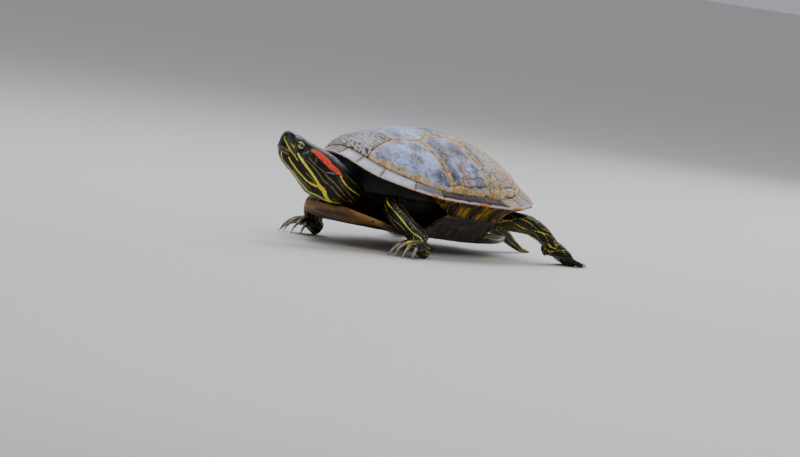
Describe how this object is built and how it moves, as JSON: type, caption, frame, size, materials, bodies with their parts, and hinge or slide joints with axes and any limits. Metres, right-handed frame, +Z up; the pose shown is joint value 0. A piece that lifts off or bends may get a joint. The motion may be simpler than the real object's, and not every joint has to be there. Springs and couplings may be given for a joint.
{
  "type": "red-eared slider turtle model",
  "caption": "Life-size model of a live red-eared slider standing on its four legs, head raised and turned, hind legs stretched back, for display on a level surface.",
  "frame": {"origin": "on the surface the model stands on, under the middle of its box", "axes": "+Z up, the shell's keel along Y with the head end at -Y, +X to the animal's left"},
  "size_m": [0.188, 0.2908, 0.0916],
  "materials": {
    "shell_horn": "damp horn scutes",
    "plastron_horn": "satin horn with dark blotches",
    "striped_skin": "damp scaly skin with yellow stripes",
    "jaw_horn": "smooth horn",
    "eye": "wet and clear"
  },
  "bodies": {
    "root": {"vertebral_1": "shell_horn", "vertebral_2": "shell_horn", "vertebral_3": "shell_horn", "vertebral_4": "shell_horn", "vertebral_5": "shell_horn", "pleural_left_1": "shell_horn", "pleural_left_2": "shell_horn", "pleural_left_3": "shell_horn", "pleural_left_4": "shell_horn", "pleural_right_1": "shell_horn", "pleural_right_2": "shell_horn", "pleural_right_3": "shell_horn", "pleural_right_4": "shell_horn", "nuchal": "shell_horn", "marginal_left_01": "shell_horn", "marginal_left_02": "shell_horn", "marginal_left_03": "shell_horn", "marginal_left_04": "shell_horn", "marginal_left_05": "shell_horn", "marginal_left_06": "shell_horn", "marginal_left_07": "shell_horn", "marginal_left_08": "shell_horn", "marginal_left_09": "shell_horn", "marginal_left_10": "shell_horn", "marginal_left_11": "shell_horn", "marginal_left_12": "shell_horn", "marginal_right_01": "shell_horn", "marginal_right_02": "shell_horn", "marginal_right_03": "shell_horn", "marginal_right_04": "shell_horn", "marginal_right_05": "shell_horn", "marginal_right_06": "shell_horn", "marginal_right_07": "shell_horn", "marginal_right_08": "shell_horn", "marginal_right_09": "shell_horn", "marginal_right_10": "shell_horn", "marginal_right_11": "shell_horn", "marginal_right_12": "shell_horn", "plastron": "plastron_horn", "trunk": "striped_skin", "neck": "striped_skin", "head": "striped_skin", "tail": "striped_skin", "upper_arm_left": "striped_skin", "upper_arm_right": "striped_skin", "forearm_left": "striped_skin", "forearm_right": "striped_skin", "hand_left": "striped_skin", "hand_right": "striped_skin", "thigh_left": "striped_skin", "thigh_right": "striped_skin", "shank_left": "striped_skin", "shank_right": "striped_skin", "foot_left": "striped_skin", "foot_right": "striped_skin", "lower_jaw": "jaw_horn", "eye_left": "eye", "eye_right": "eye"}
  },
  "joints": []
}
